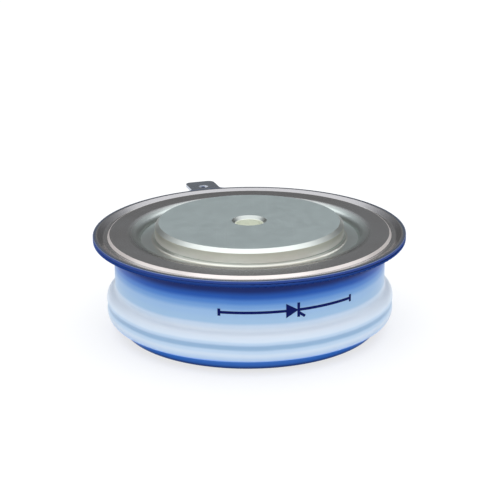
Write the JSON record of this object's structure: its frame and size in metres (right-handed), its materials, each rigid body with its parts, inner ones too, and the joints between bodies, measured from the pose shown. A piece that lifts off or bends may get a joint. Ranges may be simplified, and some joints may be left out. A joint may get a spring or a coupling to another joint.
{
  "type": "disc thyristor",
  "caption": "Disc thyristor in a ribbed ceramic capsule, with a contact pole on each face, a thin welded flange with a holed cathode tab and a gate terminal.",
  "frame": {"origin": "centre of the anode contact face, at the mouth of its locating hole", "axes": "+Z along the capsule axis to the cathode contact face; +Y to the back, where the cathode tab and the gate terminal are; +X to the right"},
  "size_m": [0.042, 0.0455, 0.0147],
  "materials": {
    "plated_pole": "nickel-plated copper, fine matt lapped face",
    "plated_lid": "nickel-plated sheet, satin, darker and smoother than the poles",
    "plated_ring": null,
    "plated_rim": null,
    "glazed_ceramic": "white alumina under a clear glossy glaze, blue tint towards the neck",
    "ptfe": "white moulded insulator, waxy",
    "molybdenum": "lapped grey metal",
    "silicon": "polished dark grey wafer",
    "edge_rubber": "cast silicone rubber",
    "contact_metal": "silver-plated contact metal",
    "spring_steel": "drawn spring wire",
    "mica": "pale laminated insulator"
  },
  "bodies": {
    "root": {"anode_pole": "plated_pole", "anode_flange": "plated_rim", "ceramic_housing": "glazed_ceramic", "weld_ring": "plated_ring", "cathode_lid": "plated_lid", "cathode_pole": "plated_pole", "centring_ring": "ptfe", "anode_disc": "molybdenum", "silicon_wafer": "silicon", "wafer_edge_ring": "edge_rubber", "cathode_disc": "molybdenum", "gate_contact": "contact_metal", "gate_contact_sleeve": "ptfe", "gate_spring": "spring_steel", "gate_spring_washer": "mica", "gate_lead": "contact_metal", "gate_lead_sleeve": "ptfe", "gate_tube": "plated_lid", "gate_terminal": "plated_lid"}
  },
  "joints": []
}
